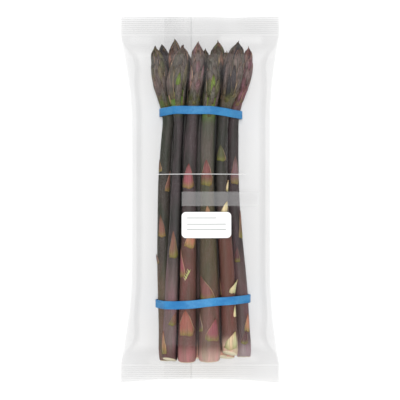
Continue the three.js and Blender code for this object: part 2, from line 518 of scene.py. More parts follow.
class LeafPattern:
    """A flat scale leaf, modelled once and then wrapped on spears."""

    def __init__(self, columns: int, rows: int) -> None:
        """Models the flat leaf, one unit long and two units across, with a thin body."""
        deselect()
        bpy.ops.mesh.primitive_grid_add(x_subdivisions=columns, y_subdivisions=rows, size=2)
        self.flat = bpy.context.object
        self.flat.name = f"leaf_pattern_{columns}_{rows}"
        bpy.ops.object.mode_set(mode="EDIT")
        bpy.ops.mesh.select_all(action="SELECT")
        bpy.ops.transform.translate(value=(0, 1, 0))
        bpy.ops.transform.resize(value=(1, 0.5, 1), center_override=(0, 0, 0))
        bpy.ops.object.mode_set(mode="OBJECT")
        apply_modifier(self.flat, "SOLIDIFY", thickness=1.0, offset=-1.0)

    @staticmethod
    def outline(leaf: Leaf, across: np.ndarray, up: np.ndarray, number: int) -> np.ndarray:
        """Returns the leaf's width up its length, as a share of its full width."""
        if leaf.bud:
            return 0.03 + 0.97 * np.maximum(1 - up, 0) ** 0.7 * (0.75 + 0.9 * up)
        return 0.03 + 0.97 * (1 - up**1.4) * (1 + 0.07 * np.sin(9 * up + 2.1 * number + across))

    @staticmethod
    def tints(leaf: Leaf, trace: Trace, across: np.ndarray, up: np.ndarray) -> np.ndarray:
        """Returns colour and rim by vertex. A bud's leaves carry painted shade low down, most at their
        sides, where other leaves overlap them, and are dry at the top.
        """
        tint = np.array((*(leaf.shade * channel for channel in leaf.hue.value[:3]), leaf.rim))
        rows = np.tile(tint, (len(up), 1))
        if leaf.bud:
            # Painted shade: darker towards the foot and sides of the leaf, where neighbouring leaves overlap
            # it.
            light = (0.34 + 0.66 * ease(0.0, 0.5, up)) * (1 - 0.3 * across**2 * (1 - up))
            rows[:, :3] *= light[:, None]
            dry = ease(0.7, 1.0, up)[:, None] * 0.85 * (trace.share(leaf.base * MM) > 0.9)
            rows[:, :3] += dry * (np.array(LeafHue.UMBER.value[:3]) * leaf.shade - rows[:, :3])
        return rows

    def wrap(self, leaf: Leaf, trace: Trace, number: int) -> bpy.types.Object:
        """Copies the leaf and wraps the copy on a spear.

        Args:
            leaf: the leaf's place, size and colour.
            trace: the spear's centre line.
            number: the copy's number.

        Returns:
            The wrapped copy.
        """
        piece = self.flat.copy()
        piece.data = self.flat.data.copy()
        piece.name = f"leaf_{number:03d}"
        bpy.context.scene.collection.objects.link(piece)
        across, up, below = points_of(piece.data).T
        hollow = 0.14 * leaf.width * (1 - across**2) * (1 - up) ** 2
        hollow += 0.05 * leaf.width * np.sin(5 * across + 1.7 * number) * (1 - up) ** 3
        y = (leaf.base + leaf.length * up - hollow) * MM
        x, z, reach = trace.at(y)
        least = 0.3 * float(trace.at(np.array([leaf.base * MM]))[2][0])
        half = self.outline(leaf, across, up, number) * leaf.width * MM / 2
        turn = math.radians(leaf.turn) + across * half / np.maximum(reach, least)
        turn += math.radians(leaf.lean) * up**1.2
        crown = 0.2 * (1 - across**2) * np.sin(np.pi * np.clip(0.15 + 0.85 * up, 0, 1))
        stand = 0.12 + leaf.lift * up**1.4 + crown + 0.4 * below
        outer = reach + stand * MM
        set_points(piece.data, np.stack((x + outer * np.sin(turn), y, z + outer * np.cos(turn)), axis=1))
        growth = (trace.share(y), np.ones_like(up), up, np.abs(across))
        set_colours(piece.data, "growth", np.stack(growth, axis=1))
        set_colours(piece.data, "tint", self.tints(leaf, trace, across, up))
        set_values(piece.data, "green", np.full_like(up, leaf.green))
        set_values(piece.data, "cut", np.zeros_like(up))
        return piece

    def discard(self) -> None:
        """Removes the flat leaf when all copies are made."""
        bpy.data.objects.remove(self.flat)


@dataclass
class Spear:
    """One asparagus spear with its scale leaves and bud."""

    number: int
    finish: SpearFinish
    leaves: tuple[Leaf, ...] = ()
    cut_tilt: float = 0.0
    cut_turn: float = 0.0
    bud_turn: float = 0.0
    bud_leaves: int = 46
    bud_hues: tuple[LeafHue, ...] = (LeafHue.DUSK, LeafHue.DUSK, LeafHue.TAUPE, LeafHue.TAUPE, LeafHue.OLIVE)
    trim: float = 0.0
    plump: float = 0.0
    # Gap in millimetres over which the painted shade beside other spears fades out.
    crevice_shade: tuple[float, float] = (0.2, 3.5)
    sides: int = 28
    least_reach: float = 0.25
    trace: Trace = field(init=False)
    chance: random.Random = field(init=False)

    def __post_init__(self) -> None:
        """Reads the spear's node."""
        self.trace = Trace(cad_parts[self.node])
        self.trace.plump(self.plump)
        self.chance = random.Random(100 + self.number)

    @property
    def node(self) -> str:
        """Name of the spear's node."""
        return f"spear_{self.number:02d}"

    def stem(self) -> bpy.types.Object:
        """Extrudes the stem and the core of the bud ring by ring from the cut end.

        Returns:
            The stem.
        """
        start = self.trim * MM / (self.trace.tip - self.trace.cut)
        shares = np.concatenate((start + FOOT_RINGS, STEM_RINGS, BUD_RINGS))
        heights = self.trace.height(shares)
        x, z, reach = self.trace.at(heights)
        reach[:2] *= CUT_EDGE
        reach *= 1 - 0.1 * ease(0.78, 0.86, shares)
        reach = np.maximum(reach, self.least_reach * MM)
        deselect()
        bpy.ops.mesh.primitive_circle_add(
            vertices=self.sides,
            radius=reach[0],
            fill_type="NGON",
            location=(x[0], heights[0], z[0]),
            rotation=(-math.pi / 2, 0, 0),
        )
        piece = bpy.context.object
        bpy.ops.object.transform_apply(location=True, rotation=True, scale=True)
        bpy.ops.object.mode_set(mode="EDIT")
        bpy.ops.mesh.select_all(action="SELECT")
        for k in range(1, len(heights)):
            step = (x[k] - x[k - 1], heights[k] - heights[k - 1], z[k] - z[k - 1])
            bpy.ops.mesh.extrude_region_move(TRANSFORM_OT_translate={"value": step})
            size = reach[k] / reach[k - 1]
            bpy.ops.transform.resize(value=(size, size, size), center_override=(x[k], heights[k], z[k]))
        bpy.ops.mesh.select_all(action="SELECT")
        bpy.ops.mesh.normals_make_consistent(inside=False)
        bpy.ops.object.mode_set(mode="OBJECT")
        return piece

    def roughen(self, piece: bpy.types.Object) -> None:
        """Makes the stem a little uneven, slants its cut and stores what its skin reads."""
        points = points_of(piece.data)
        y = points[:, 1].copy()
        x, z, reach = self.trace.at(y)
        away = points[:, [0, 2]] - np.stack((x, z), axis=1)
        turn = np.arctan2(away[:, 0], away[:, 1])
        first, second, third = (self.chance.uniform(0, math.tau) for _ in range(3))
        swell = 0.022 * np.sin(2 * turn + first + 18 * y) + 0.014 * np.sin(3 * turn + second - 30 * y)
        swell += 0.012 * np.sin(90 * y + third)
        points[:, [0, 2]] += away * swell[:, None]
        share = self.trace.share(y)
        near = 1 - ease(0.0, 0.07, share)
        lean = math.radians(self.cut_turn)
        up = away[:, 1] * math.cos(lean) + away[:, 0] * math.sin(lean)
        points[:, 1] += self.cut_tilt * up * near
        set_points(piece.data, points)
        zeros = np.zeros_like(y)
        set_colours(piece.data, "growth", np.stack((share, zeros, zeros, zeros), axis=1))
        set_colours(piece.data, "tint", np.ones((len(y), 4)))
        set_values(piece.data, "green", zeros)
        cut = (y < self.trace.cut + (self.trim + 0.2) * MM).astype(float)
        set_values(piece.data, "cut", cut)

    def bud(self) -> list[Leaf]:
        """Lays out the bud's leaves in a spiral, the lower ones outside.

        Returns:
            The leaves.
        """
        made = []
        girth = 2 * float(self.trace.rows[:, 2][self.trace.share(self.trace.y) > 0.8].max()) / MM
        for k in range(self.bud_leaves):
            share = k / (self.bud_leaves - 1)
            place = BUD_FOOT + BUD_RUN * share**0.9 + self.chance.uniform(-0.008, 0.008)
            base = self.trace.height(place) / MM
            length = (18 - 8 * share) * girth / 13 * self.chance.uniform(0.82, 1.18)
            over = self.chance.uniform(-0.8, 1.2) + (self.chance.uniform(0, 1.3) if share > 0.7 else 0)
            length = min(length, self.trace.tip / MM + over - base)
            made.append(
                Leaf(
                    turn=self.bud_turn + SPIRAL_TURN * k + self.chance.uniform(-10, 10),
                    base=base,
                    length=length,
                    width=(0.37 + 0.1 * math.sin(math.pi * share)) * girth * self.chance.uniform(0.85, 1.15),
                    hue=self.chance.choice(self.bud_hues),
                    lean=self.chance.uniform(-14, 14),
                    lift=self.chance.uniform(0.15, 0.75),
                    shade=self.chance.uniform(0.78, 1.2),
                    green=0.5 * max(0.0, 1 - 3 * share),
                    rim=self.chance.choice((0.1, 0.25, 0.7)),
                    bud=True,
                )
            )
        return made

    def paint_crevice_shade(self, piece: bpy.types.Object, others: list[Trace]) -> None:
        """Stores painted shade for each point: the deeper it lies in the gap between this spear and its
        neighbours, the darker.

        Args:
            piece: the spear's mesh with its leaves.
            others: the other spears' centre lines.
        """
        points = points_of(piece.data)
        y = points[:, 1]
        gap = np.full(len(points), np.inf)
        for other in others:
            x, z, reach = other.at(y)
            beside = (y >= other.cut) & (y <= other.tip)
            away = np.hypot(points[:, 0] - x, points[:, 2] - z) - reach
            gap = np.where(beside, np.minimum(gap, away), gap)
        low, high = self.crevice_shade
        far = high + 1.3 * ease(0.76, 0.84, self.trace.share(y))
        share = np.clip((gap / MM - low) / (far - low), 0, 1)
        deep = 1 - ease(0, 1, share)
        set_values(piece.data, "crevice_shade", deep)

    def build(self, patterns: dict[bool, LeafPattern], others: list[Trace]) -> bpy.types.Object:
        """Builds the spear and puts it in the place of its node.

        Args:
            patterns: the flat leaves, for the bud (True) and the stem (False).
            others: the other spears' centre lines.

        Returns:
            The spear.
        """
        piece = self.stem()
        self.roughen(piece)
        piece.name = f"asparagus_{self.number:02d}"
        leaves = [*self.leaves, *self.bud()]
        wrapped = [patterns[leaf.bud].wrap(leaf, self.trace, k) for k, leaf in enumerate(leaves)]
        choose(piece, *wrapped)
        bpy.ops.object.join()
        self.paint_crevice_shade(piece, others)
        hand_over(piece, self.node, self.finish.material(f"skin_{self.number:02d}"))
        return piece


@dataclass
class Band:
    """A flat rubber band stretched round the bundle, in millimetres.

    It lies at a height along the spears, slopes across its middle stretch and droops at its sides.
    """

    node: str
    height: float
    slope: float
    arch: float
    width: float = 6.0
    thickness: float = 1.1
    bevel: float = 0.22
    stand_off: float = 0.65
    reach: float = 51.5
    sloping: Span = (-18.0, 24.0)
    wobble: float = 0.35
    points: int = 180
    strips: int = 6

    def outline(self, traces: list[Trace]) -> np.ndarray:
        """Finds the line that the band takes round the spears.

        Args:
            traces: the spears' centre lines.

        Returns:
            Rows of x and z round the band.
        """
        angles = np.linspace(0, math.tau, 48, endpoint=False)
        circle = np.stack((np.cos(angles), np.sin(angles)), axis=1)
        cloud = []
        for trace in traces:
            x, z, reach = trace.at(np.array([self.height * MM]))
            cloud.append(np.array([x[0], z[0]]) + circle * (reach[0] + self.stand_off * MM))
        hull = convex_outline(np.concatenate(cloud))
        return even_outline(hull, self.points)

    def build(self, traces: list[Trace], material: bpy.types.Material) -> bpy.types.Object:
        """Builds the band and puts it in the place of its node.

        Args:
            traces: the spears' centre lines.
            material: the rubber.

        Returns:
            The band.
        """
        deselect()
        bpy.ops.mesh.primitive_circle_add(vertices=self.points, radius=0.03, fill_type="NOTHING")
        piece = bpy.context.object
        piece.name = f"rubber_{self.node}"
        line = self.outline(traces)
        low = (self.height - self.width / 2) * MM
        set_points(piece.data, np.stack((line[:, 0], np.full(len(line), low), line[:, 1]), axis=1))
        bpy.ops.object.mode_set(mode="EDIT")
        bpy.ops.mesh.select_all(action="SELECT")
        step = (0, self.width * MM / self.strips, 0)
        for _ in range(self.strips):
            bpy.ops.mesh.extrude_edges_move(TRANSFORM_OT_translate={"value": step})
        bpy.ops.mesh.select_all(action="SELECT")
        bpy.ops.mesh.normals_make_consistent(inside=False)
        bpy.ops.object.mode_set(mode="OBJECT")
        apply_modifier(piece, "SOLIDIFY", thickness=self.thickness * MM, offset=1.0)
        apply_modifier(piece, "BEVEL", width=self.bevel * MM, segments=2, limit_method="ANGLE")
        points = points_of(piece.data)
        x = points[:, 0] / MM
        drop = self.arch * (x / self.reach) ** 2
        sway = self.wobble * np.sin(x / 6.0) * np.sin(x / 17.0 + 1)
        points[:, 1] += (self.slope * np.clip(x, *self.sloping) - drop + sway) * MM
        set_points(piece.data, points)
        hand_over(piece, self.node, material)
        return piece


def convex_outline(points: np.ndarray) -> np.ndarray:
    """Returns the convex outline of points in a plane, in order."""
    rows = sorted(map(tuple, points))

    def chain(ordered: list[tuple[float, float]]) -> list[tuple[float, float]]:
        """Returns one half of the outline."""
        kept: list[tuple[float, float]] = []
        for p in ordered:
            while len(kept) > 1:
                (ax, ay), (bx, by) = kept[-2], kept[-1]
                if (bx - ax) * (p[1] - ay) - (by - ay) * (p[0] - ax) > 0:
                    break
                kept.pop()
            kept.append(p)
        return kept[:-1]

    return np.array(chain(rows) + chain(rows[::-1]))


def even_outline(outline: np.ndarray, count: int) -> np.ndarray:
    """Returns a closed outline with this many evenly spaced points."""
    closed = np.concatenate((outline, outline[:1]))
    steps = np.linalg.norm(np.diff(closed, axis=0), axis=1)
    travel = np.concatenate(([0], np.cumsum(steps)))
    wanted = np.linspace(0, travel[-1], count, endpoint=False)
    return np.stack([np.interp(wanted, travel, closed[:, k]) for k in range(2)], axis=1)


@dataclass(frozen=True)
class RubberFinish:
    """Blue rubber with a fine grain and paler worn patches."""

    dark: Rgb = (28, 104, 162)
    plain: Rgb = (36, 118, 178)
    worn: Rgb = (60, 142, 196)
    grain_depth: float = 0.4

    def material(self) -> bpy.types.Material:
        """Makes the rubber.

        Returns:
            The material.
        """
        made, g = start_material("blue_rubber")
        grain = g.noise((1400, 700, 1400), 3.0)
        patches = g.noise((90, 160, 90), 2.0)
        colour = g.mix(g.span(patches, 0.3, 0.7), paint(*self.plain), paint(*self.worn))
        colour = g.mix(g.span(grain, 0.35, 0.7, (0, 0.35)), colour, paint(*self.dark))
        bump = g.add("Bump", {"Height": grain, "Strength": 0.25, "Distance": self.grain_depth * MM})
        g.surface(
            {
                "Base Color": colour,
                "Roughness": g.span(grain, 0.3, 0.7, (0.5, 0.68)),
                "Normal": bump.outputs[0],
                "Specular IOR Level": 0.4,
            }
        )
        return made


@dataclass
class FilmBag:
    """The clear film bag: one sheet wrapped into a tube, lapped at the back and crimped at both ends."""

    length: float = 275.0
    flat_width: float = 120.0
    waist: float = 104.6
    sway: float = 0.75
    flange: float = 4.2
    seal: float = 12.5
    seal_height: float = 12.0
    seal_gap: float = 0.12
    lap: Span = (-27.0, -6.0)
    back_lift: float = 0.14
    back_flat: float = 0.66
    tip_taper: float = 92.0
    cut_taper: float = 4.5
    fold_inset: float = 4.5
    fold_bulge: float = 2.6
    fold_bulge_at: float = 103.0
    fold_end: Span = (108.0, 123.0)
    thickness: float = 0.06
    rib_pitch: float = 1.6
    rib_depth: float = 0.16
    pressure: float = 0.012
    clear: float = 0.7
    columns: int = 61
    rows: int = 251
    settling: int = 1500
    creases_at_end: int = 18
    front_columns: int = 97
    right_columns: int = 51
    left_columns: int = 41
    lap_columns: int = 11

    @property
    def inner(self) -> float:
        """How far the seals' inner edges are from the middle, in millimetres."""
        return self.length / 2 - self.seal

    def half_width(self, y: np.ndarray) -> np.ndarray:
        """Returns half the bag's width at heights along Y, in millimetres."""
        y = np.asarray(y, float)
        start = np.where(y > 0, 60.0, 55.0)
        share = np.clip((np.abs(y) - start) / (self.inner - start), 0, 1)
        return (self.waist + (self.flat_width - self.waist) * share**1.8) / 2

    def drape(self, traces: list[Trace]) -> np.ndarray:
        """Lets the front wall settle over the spears like a taut skin with a little air under it.

        Args:
            traces: the spears' centre lines.

        Returns:
            Heights of the front wall, by row along the bag and column across it, in millimetres.
        """
        y = np.linspace(-self.inner, self.inner, self.rows)
        bare = -10.0
        across = np.linspace(-1, 1, self.columns)
        reach_x = self.half_width(y) - self.flange
        x = across[None, :] * reach_x[:, None]
        under = np.full(x.shape, bare)
        for trace in traces:
            cx, cz, reach = (part / MM for part in trace.at(y * MM))
            inside = (y * MM >= trace.cut - 0.0005) & (y * MM <= trace.tip)
            reach = np.where(inside, reach + self.clear, 0)
            rise = reach[:, None] ** 2 - (x - cx[:, None]) ** 2
            top = cz[:, None] + np.sqrt(np.maximum(rise, 0))
            under = np.maximum(under, np.where(rise > 0, top, bare))
        for k, line in enumerate(under):
            line[[0, -1]] = self.seal_height
            tops = convex_outline(np.stack((x[k], line), axis=1))
            tops = np.concatenate((tops, tops[:1]))
            upper = tops[np.argmax(tops[:, 0]):]
            under[k] = np.interp(x[k], upper[::-1, 0], upper[::-1, 1])
        z = np.maximum(under, self.seal_height)
        dy = y[1] - y[0]
        dx = (reach_x * 2 / (self.columns - 1))[:, None]
        weight_x, weight_y = 1 / dx[1:-1] ** 2, 1 / dy**2
        total = 2 * weight_x + 2 * weight_y
        floor = under[1:-1, 1:-1]
        for _ in range(self.settling):
            side = weight_x * (z[1:-1, :-2] + z[1:-1, 2:]) + weight_y * (z[:-2, 1:-1] + z[2:, 1:-1])
            z[1:-1, 1:-1] = np.maximum((side + self.pressure) / total, floor)
        return z

    def creases(self, x: np.ndarray, y: np.ndarray) -> np.ndarray:
        """Returns the depth of the sharp creases that run in from the end seals.

        Args:
            x: places across the bag, in millimetres.
            y: places along the bag, in millimetres.

        Returns:
            Heights to add, in millimetres.
        """
        chance = random.Random(7)
        total = np.zeros_like(x)
        reach_x = 58
        by_sides = 8
        for end in (-1, 1):
            for k in range(self.creases_at_end):
                start = chance.uniform(-reach_x, reach_x)
                if k < by_sides:
                    start = (reach_x - 4.5 * (k // 2)) * (1 if k % 2 else -1)
                lean = -0.55 * start / reach_x + chance.uniform(-0.25, 0.25)
                reach = chance.uniform(14, 42)
                depth = chance.uniform(-0.75, 0.75)
                width = chance.uniform(0.9, 2.2)
                run = self.inner - end * y
                off = np.abs(x - start - lean * run) / width
                fade = np.clip(1 - run / reach, 0, 1) * ease(-0.5, 4.0, run)
                total += depth * np.exp(-off) * fade
        for side in (-1, 1):
            line = side * (self.half_width(y) - self.flange - 4 + 1.2 * np.sin(y / 23 + side))
            total += 0.4 * np.exp(-np.abs(x - line) / 1.1) * (1 - ease(85, 118, np.abs(y)))
        return total

    def rows_along(self) -> np.ndarray:
        """Returns places along the bag in millimetres, close together by the ribs of the seals."""
        near = self.inner - 9
        ribs = np.linspace(self.inner, self.length / 2, 40)
        closing = np.linspace(near, self.inner, 16)[:-1]
        body = np.linspace(-near, near, 104)[1:-1]
        return np.concatenate((-ribs[::-1], -closing[::-1], body, closing, ribs))

    def front_wall(self, y: np.ndarray, traces: list[Trace]) -> tuple[np.ndarray, np.ndarray]:
        """Works out the front wall with its creases.

        Args:
            y: places along the bag, in millimetres.
            traces: the spears' centre lines.

        Returns:
            Its x and its z by row and column, in millimetres.
        """
        tops = self.drape(traces)
        wide = self.half_width(y)[:, None]
        closer_at_sides = -np.cos(np.linspace(0, math.pi, self.front_columns))
        across = (0.35 * closer_at_sides + 0.65 * np.linspace(-1, 1, self.front_columns))[None, :]
        grid_y = np.linspace(-self.inner, self.inner, self.rows)
        grid_x = np.linspace(-1, 1, self.columns)
        row = np.interp(np.clip(y, -self.inner, self.inner), grid_y, np.arange(self.rows))
        low = np.clip(row.astype(int), 0, self.rows - 2)
        part = (row - low)[:, None]
        lines = tops[low] * (1 - part) + tops[low + 1] * part
        inward = across * wide / (wide - self.flange)
        z = np.stack([np.interp(places, grid_x, line) for places, line in zip(inward, lines)])
        x = across * wide
        return x, z + self.creases(x, np.broadcast_to(y[:, None], x.shape))

    def back_wall(self, x: np.ndarray, y: np.ndarray) -> np.ndarray:
        """Returns heights of the back wall at places across and along the bag, in millimetres."""
        share = np.abs(x) / (self.half_width(y)[:, None] - self.flange)
        rise = self.seal_height * np.clip((share - self.back_flat) / (1 - self.back_flat), 0, 1) ** 2
        tipward = ease(self.tip_taper, self.inner, y)[:, None] ** 1.5
        cutward = ease(self.inner - self.cut_taper, self.inner, -y)[:, None]
        return rise + (self.seal_height - rise) * np.maximum(tipward, cutward)

    def finish_ends(self, x: np.ndarray, y: np.ndarray, z: np.ndarray) -> np.ndarray:
        """Crimps and waves the end seals, and sways the bag a little to one side.

        Args:
            x: the sheet's x by row and column, in millimetres.
            y: places along the bag, in millimetres.
            z: the sheet's z by row and column, in millimetres.

        Returns:
            Points by row and column, in millimetres.
        """
        out = np.abs(y)
        edge = ease(self.inner, self.length / 2, out)[:, None]
        rib = self.rib_depth * np.sin(math.tau * (out - self.inner) / self.rib_pitch)
        ribbed = z + (rib * ease(self.inner, self.inner + 0.8, out))[:, None]
        top_edge = 1.2 - 0.7 * np.exp(-(((x - 22) / 15) ** 2)) + 0.12 * np.sin(x / 7.3)
        bottom_edge = 2.9 * (1 - (x / 60) ** 2) - 0.8
        ragged = y[:, None] + np.where(y[:, None] > 0, top_edge, bottom_edge) * edge
        swayed = x + self.sway * (1 - ease(60, self.inner, out))[:, None]
        sag = 1.2 * np.sin(swayed / 24 + np.sign(y)[:, None]) * edge
        return np.stack((swayed, ragged, np.maximum(ribbed + sag, 0.02)), axis=2)

    def sheet_points(self, traces: list[Trace]) -> tuple[np.ndarray, np.ndarray, np.ndarray]:
        """Works out the sheet from its under edge at the back, round the front and over the lap.

        Args:
            traces: the spears' centre lines.

        Returns:
            Points by row along the bag and column round it in millimetres, each column's mark (1 on the
            front, 0.5 on the lap), and how far inside the bag's side fold each point is, in metres.
        """
        y = self.rows_along()
        out = np.abs(y)
        wide = self.half_width(y)[:, None]
        over, under = self.lap
        x_front, z_front = self.front_wall(y, traces)
        x_left = under - (wide + under) * np.linspace(0, 1, self.left_columns + 1)[None, :-1]
        x_right = wide + (under - wide) * np.linspace(0, 1, self.right_columns + 1)[None, 1:]
        lap_line = np.linspace(under, over - 0.01, self.lap_columns + 1)[None, 1:]
        x_lap = np.broadcast_to(lap_line, (len(y), self.lap_columns))
        closed_gap = self.seal_gap * ease(self.inner - 0.5, self.inner, out)[:, None]
        z_left = self.back_wall(x_left, y) - closed_gap + self.back_lift
        z_right = self.back_wall(x_right, y) - closed_gap + self.back_lift
        z_lap = np.maximum(self.back_wall(x_lap, y) - closed_gap - self.seal_gap, 0.0)
        x = np.concatenate((x_left, x_front, x_right, x_lap), axis=1)
        z = np.concatenate((z_left, z_front + closed_gap, z_right, z_lap), axis=1)
        walls = ((x_left, 0.0), (x_front, 1.0), (x_right, 0.0), (x_lap, 0.5))
        marks = np.concatenate([np.full(wall.shape[1], mark) for wall, mark in walls])
        inset = self.fold_inset + self.fold_bulge * np.exp(-(((out - self.fold_bulge_at) / 10) ** 2))
        fold = (inset * (1 - ease(*self.fold_end, out)))[:, None]
        return self.finish_ends(x, y, z), marks, (wide - np.abs(x) - fold) * MM

    def build(
        self, traces: list[Trace], material: bpy.types.Material, resting: list[str]
    ) -> bpy.types.Object:
        """Builds the bag and puts it in the place of its node.

        Args:
            traces: the spears' centre lines.
            material: the film.
            resting: names of the spears that the film lies on; not used.

        Returns:
            The bag.
        """
        points, marks, past_fold = self.sheet_points(traces)
        rows, columns = points.shape[:2]
        deselect()
        bpy.ops.mesh.primitive_grid_add(x_subdivisions=columns - 1, y_subdivisions=rows - 1, size=1)
        piece = bpy.context.object
        piece.name = "clear_film_bag"
        set_points(piece.data, points.reshape(-1, 3) * MM)
        mark = np.tile(marks, rows)
        past = past_fold.reshape(-1)
        set_colours(piece.data, "place", np.stack((mark, past, past, np.ones_like(past)), axis=1))
        apply_modifier(piece, "SOLIDIFY", thickness=self.thickness * MM, offset=0.0)
        hand_over(piece, "film_bag", material)
        return piece



@dataclass(frozen=True)
class FilmBlock:
    """A block on the film with rounded corners and a soft edge, in millimetres from the bag's middle.

    The box gives lowest x, highest x, lowest y and highest y. Cover is how much the ink hides.
    """

    box: Box
    ink: Colour = PRINT_WHITE
    cover: float = 0.0
    roughness: float = 0.0
    rounding: float = 0.3
    soft: float = 0.4

    def mask(self, g: Graph) -> Socket:
        """Returns 1 inside the block and 0 outside it.

        Args:
            g: the material's graph.

        Returns:
            The mask.
        """
        where = g.place()
        squares = []
        for axis, (low, high) in enumerate((self.box[:2], self.box[2:])):
            middle, reach = (low + high) / 2 * MM, ((high - low) / 2 - self.rounding) * MM
            off = g.sum("ABSOLUTE", g.minus(where[axis], middle))
            gap = g.sum("MAXIMUM", g.minus(off, reach), 0.0)
            squares.append(g.times(gap, gap))
        far = g.sum("SQRT", g.plus(*squares))
        edge = (self.rounding - self.soft / 2, self.rounding + self.soft / 2)
        return g.span_mm(far, edge, (1, 0))


@dataclass(frozen=True)
class FilmFinish:
    """Clear film that greys what lies behind it a little, with painted reflections, painted highlights and
    plain print.

    A grey is how much of what lies behind is hidden, and a reflection is how much a painted white reflection
    veil hides. Painted highlights by the seals are boxes where the film is made clearer, each with the share
    of grey that it takes away. Spans are in millimetres: along the bag from its middle, or in from a side
    fold or from a weld.
    """

    grey: float = 0.027
    flange_grey: float = 0.034
    fold_grey: float = 0.049
    seal_grey: float = 0.047
    lap_grey: float = 0.009
    edge_grey: float = 0.03
    # Painted reflection: white veils over the buds and above the cut ends.
    bud_reflection: float = 0.016
    base_reflection: float = 0.011
    bud_rise: Span = (78.0, 106.0)
    bud_end: Span = (107.0, 107.8)
    base_start: Span = (-107.2, -106.4)
    base_fall: Span = (-106.0, -86.0)
    shoulder: Span = (108.0, 117.0)
    outside_fold: Span = (-1.8, -0.2)
    inside_fold: Span = (0.2, 5.0)
    seal_start: Span = (124.5, 125.5)
    rib_pitch: float = 1.5
    rib_greys: Span = (0.7, 1.3)
    weld: float = 124.8
    weld_edge: Span = (0.2, 0.6)
    print_blocks: tuple[FilmBlock, ...] = (
        FilmBlock((-13.6, 44.5, -4.5, 6.2), PANEL_GREY, 0.125, 0.6),
        FilmBlock((-32.7, 34.7, 18.9, 19.5), cover=0.5, rounding=0.2, soft=0.3),
        FilmBlock((-13.6, 23.2, -28.1, -8.8), cover=1.0, roughness=0.6, rounding=3.2),
        FilmBlock((-9.6, 12.0, -13.6, -12.9), LINE_GREY, soft=0.2),
        FilmBlock((-9.6, 19.2, -18.2, -17.5), LINE_GREY, soft=0.2),
        FilmBlock((-9.6, 19.2, -22.2, -21.5), LINE_GREY, soft=0.2),
    )
    # Painted highlights: boxes by the seals where the film is made clearer, each with the share of grey
    # taken away.
    highlight_boxes: tuple[tuple[Box, float], ...] = (
        ((15.0, 47.0, 118.0, 124.6), 0.42),
        ((-53.0, -36.0, 118.0, 124.0), 0.2),
        ((-38.0, -29.0, -122.3, -119.2), 0.4),
        ((17.0, 44.0, -122.0, -118.6), 0.4),
    )

    def reflection_veil(self, g: Graph) -> Socket:
        """Returns the painted reflection on the front film: a white veil over the buds and by the cut ends.
        """
        along = g.place()[1]
        bud = g.span_mm(along, self.bud_rise, (0, self.bud_reflection))
        bud = g.times(g.span_mm(along, self.bud_end, (1, 0)), bud)
        base = g.span_mm(along, self.base_fall, (self.base_reflection, 0))
        base = g.times(g.span_mm(along, self.base_start), base)
        return g.plus(bud, base)

    def grey_left_by_highlights(self, g: Graph) -> Socket:
        """Returns how much of the grey is left where painted highlights by the seals make the film clearer.
        """
        left = 1.0
        for box, share in self.highlight_boxes:
            left = g.minus(left, g.times(FilmBlock(box, rounding=3.0, soft=5.0).mask(g), share))
        return left

    def greyness(self, g: Graph, place: Sockets, front: Socket, cloud: Socket) -> Socket:
        """Returns how much the film greys what lies behind it.

        Args:
            g: the material's graph.
            place: the sheet's marks and how far inside the side fold it is.
            front: 1 on the front wall.
            cloud: soft noise that makes the grey uneven.

        Returns:
            The grey.
        """
        out = g.sum("ABSOLUTE", g.place()[1])
        inside = g.span_mm(out, self.shoulder, (self.grey, self.seal_grey))
        folded = g.span_mm(place[1], self.outside_fold, (self.flange_grey, self.fold_grey))
        settled = g.times(g.span_mm(place[1], self.inside_fold), g.minus(self.fold_grey, inside))
        loose = g.minus(folded, settled)
        rib = g.sum("SINE", g.times(out, math.tau / (self.rib_pitch * MM)))
        pressed = g.times(g.span(rib, -1.0, 1.0, self.rib_greys), self.seal_grey)
        grey = g.plus(loose, g.times(g.span_mm(out, self.seal_start), g.minus(pressed, loose)))
        from_weld = g.sum("ABSOLUTE", g.minus(out, self.weld * MM))
        grey = g.times(grey, g.span_mm(from_weld, self.weld_edge, (0.75, 1.0)))
        grey = g.times(grey, g.span(cloud, 0.25, 0.75, (0.9, 1.1)))
        lapped = g.times(g.span(place[0], 0.2, 0.5), g.minus(1.0, front))
        grey = g.times(grey, g.span(lapped, 0.0, 1.0, (1.0, self.lap_grey / self.grey)))
        facing = g.add("LayerWeight", {"Blend": 0.35}).outputs["Facing"]
        steep = g.times(g.sum("POWER", facing, 2.2), self.edge_grey)
        # Painted highlights by the seals take away part of the grey.
        return g.times(g.plus(grey, steep), self.grey_left_by_highlights(g))

    def material(self) -> bpy.types.Material:
        """Makes the film material.

        Returns:
            The material.
        """
        made, g = start_material("clear_film")
        place = g.add("SeparateColor", {0: g.attribute("place")["Color"]}).outputs
        front = g.span(place[0], 0.8, 1.0)
        cloud = g.noise((35, 22, 35), 2.0, 0.4)
        # Painted reflection: a white veil on the front film over the buds and above the cut ends.
        painted_reflection = g.times(self.reflection_veil(g), front)
        alpha = g.plus(self.greyness(g, place, front, cloud), painted_reflection)
        # Where the painted reflection lies, the film takes the print white; elsewhere it is smoke grey.
        colour = g.mix(g.sum("DIVIDE", painted_reflection, alpha), SMOKE, PRINT_WHITE)
        rough = g.span(cloud, 0.2, 0.8, (0.08, 0.14))
        for block in self.print_blocks:
            mask = g.times(block.mask(g), front)
            colour = g.mix(mask, colour, block.ink)
            alpha = g.sum("MAXIMUM", alpha, g.times(mask, block.cover))
            rough = g.sum("MAXIMUM", rough, g.times(mask, block.roughness))
        g.surface({"Base Color": colour, "Roughness": rough, "Alpha": alpha, "IOR": 1.18})
        return made


